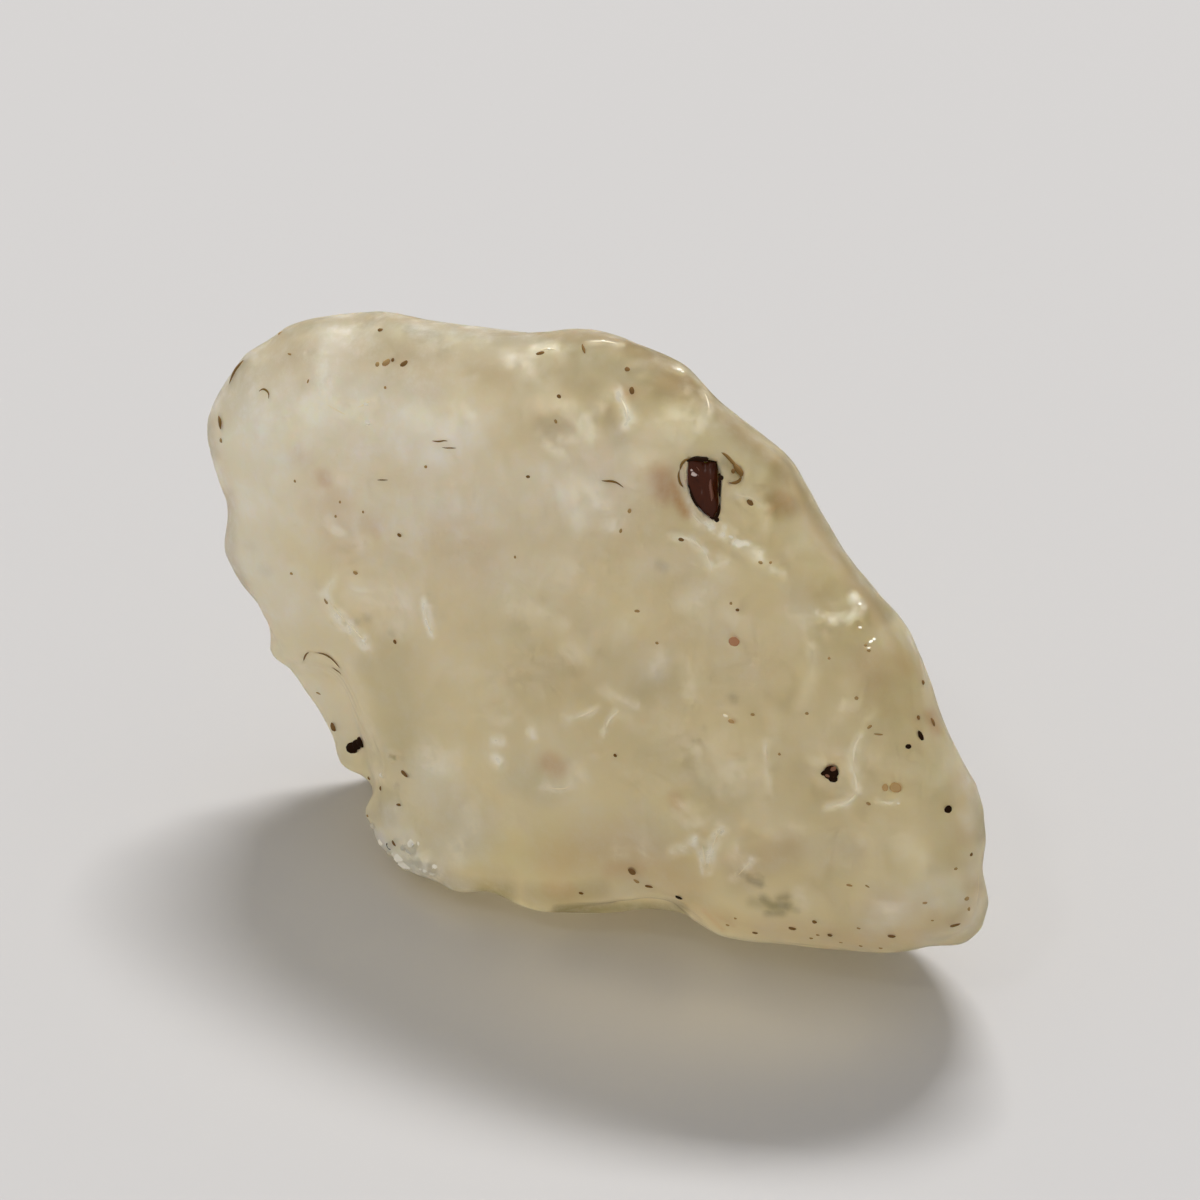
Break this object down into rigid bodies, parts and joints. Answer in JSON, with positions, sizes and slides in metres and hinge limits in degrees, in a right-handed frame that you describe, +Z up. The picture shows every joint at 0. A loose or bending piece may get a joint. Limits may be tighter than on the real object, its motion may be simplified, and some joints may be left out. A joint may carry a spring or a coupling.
{
  "type": "libyan desert glass",
  "caption": "Wind-worn piece of pale yellow natural silica glass, blunt at one end, dimpled all over, standing on its long lower edge.",
  "frame": {"origin": "middle of the footprint box, at the height of the surface the stone stands on", "axes": "+X from the blunt end to the pointed end, +Y from the front of the stone to its back, +Z up"},
  "size_m": [0.0356, 0.0254, 0.0287],
  "materials": {
    "desert_glass": "pale yellow translucent silica glass, sand-worn satin surface"
  },
  "bodies": {
    "root": {"glass": "desert_glass"}
  },
  "joints": []
}
